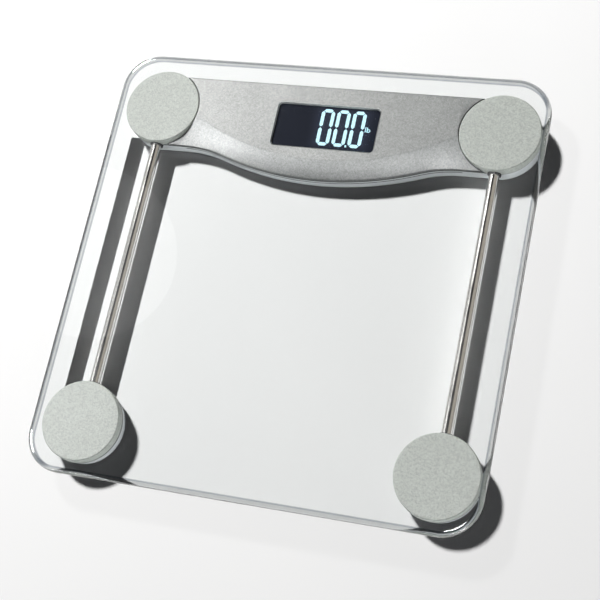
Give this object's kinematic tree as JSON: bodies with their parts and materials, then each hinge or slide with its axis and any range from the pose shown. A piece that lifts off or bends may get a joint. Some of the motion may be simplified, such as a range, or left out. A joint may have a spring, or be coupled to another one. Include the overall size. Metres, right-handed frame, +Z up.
{
  "type": "glass bathroom scale",
  "caption": "Square glass-topped electronic bathroom scale on round load-cell pucks, with a backlit display housing across the back and steel wire tubes along the sides.",
  "frame": {"origin": "on the floor, under the centre of the glass platform", "axes": "+X to the user's right, +Y towards the display at the back, +Z up out of the platform"},
  "size_m": [0.3, 0.3, 0.026],
  "materials": {
    "platform_glass": "clear tempered glass with polished edges",
    "bond_film": "clear cured adhesive",
    "satin_silver": "satin silver paint with fine metallic flake",
    "housing_silver": "silver-grey paint with fine metallic flake",
    "shell_grey": "light silver-grey moulded plastic, satin gloss",
    "foot_plastic": "light grey moulded plastic",
    "foot_rubber": "grey anti-slip rubber",
    "cell_steel": "stamped nickel-plated steel",
    "gauge_foil": "amber polyimide foil gauge",
    "sealant": "white silicone sealant",
    "tube_steel": "polished stainless steel, drawn lengthwise",
    "grommet_rubber": "black rubber",
    "display_lens": "smoke-tinted clear window, polished",
    "lcd_glass": "dark negative liquid-crystal panel with lit digits",
    "diffuser": "white light-guide acrylic",
    "frame_plastic": "black moulded plastic",
    "zebra_rubber": "layered conductive rubber",
    "board_green": "green solder mask over fibreglass laminate",
    "epoxy_black": "black epoxy drop",
    "connector_white": "white nylon",
    "component_tan": "ceramic chip bodies with tinned ends",
    "switch_black": "black plastic switch body",
    "plunger_white": "white plastic",
    "button_grey": "dark grey moulded plastic",
    "cell_sleeve": "printed blue sleeve with bare steel ends",
    "contact_nickel": "nickel-plated spring steel",
    "lead_wire": "red and black insulation",
    "wire_white": "three-core insulated wire bundle",
    "screw_steel": "zinc-plated steel"
  },
  "bodies": {
    "scale": {"glass_platform": "platform_glass", "bond_films": "bond_film", "cap_front_left": "satin_silver", "cap_front_right": "satin_silver", "cap_rear_left": "satin_silver", "cap_rear_right": "satin_silver", "base_front_left": "shell_grey", "base_front_right": "shell_grey", "display_cover": "housing_silver", "display_base": "shell_grey", "load_cell_front_left": "cell_steel", "load_cell_front_right": "cell_steel", "load_cell_rear_left": "cell_steel", "load_cell_rear_right": "cell_steel", "strain_gauges": "gauge_foil", "gauge_sealant": "sealant", "tube_left": "tube_steel", "tube_right": "tube_steel", "tube_grommets": "grommet_rubber", "display_window": "display_lens", "lcd_panel": "lcd_glass", "backlight": "diffuser", "lcd_frame": "frame_plastic", "zebra_strip": "zebra_rubber", "circuit_board": "board_green", "processor": "epoxy_black", "wire_connectors": "connector_white", "board_components": "component_tan", "switch_body": "switch_black", "battery_inner": "cell_sleeve", "battery_outer": "cell_sleeve", "battery_springs": "contact_nickel", "battery_plates": "contact_nickel", "battery_leads": "lead_wire", "wire_front_left": "wire_white", "wire_front_right": "wire_white", "wire_rear_left": "wire_white", "wire_rear_right": "wire_white", "housing_screws": "screw_steel", "puck_screws": "screw_steel", "board_screws": "screw_steel"},
    "unit_button": {"unit_button": "button_grey", "switch_plunger": "plunger_white"},
    "battery_door": {"battery_door": "shell_grey"},
    "foot_front_left": {"foot_front_left": "foot_plastic", "pad_front_left": "foot_rubber"},
    "foot_front_right": {"foot_front_right": "foot_plastic", "pad_front_right": "foot_rubber"},
    "foot_rear_left": {"foot_rear_left": "foot_plastic", "pad_rear_left": "foot_rubber"},
    "foot_rear_right": {"foot_rear_right": "foot_plastic", "pad_rear_right": "foot_rubber"}
  },
  "joints": [
    {"name": "foot_front_left_drop", "type": "slide", "parent": "scale", "child": "foot_front_left", "axis": [0, 0, -1], "range_m": [0, 0.0008]},
    {"name": "foot_front_right_drop", "type": "slide", "parent": "scale", "child": "foot_front_right", "axis": [0, 0, -1], "range_m": [0, 0.0008]},
    {"name": "foot_rear_left_drop", "type": "slide", "parent": "scale", "child": "foot_rear_left", "axis": [0, 0, -1], "range_m": [0, 0.0008]},
    {"name": "foot_rear_right_drop", "type": "slide", "parent": "scale", "child": "foot_rear_right", "axis": [0, 0, -1], "range_m": [0, 0.0008]},
    {"name": "unit_button_press", "type": "slide", "parent": "scale", "child": "unit_button", "axis": [0, 0, 1], "range_m": [0, 0.0008], "stiffness_N_per_m": 800, "springref_m": -0.001},
    {"name": "battery_door_hinge", "type": "hinge", "parent": "scale", "child": "battery_door", "pos_m": [-0.0396, 0.1194, 0.0023], "axis": [0, -1, 0], "range_deg": [0, 85]}
  ]
}
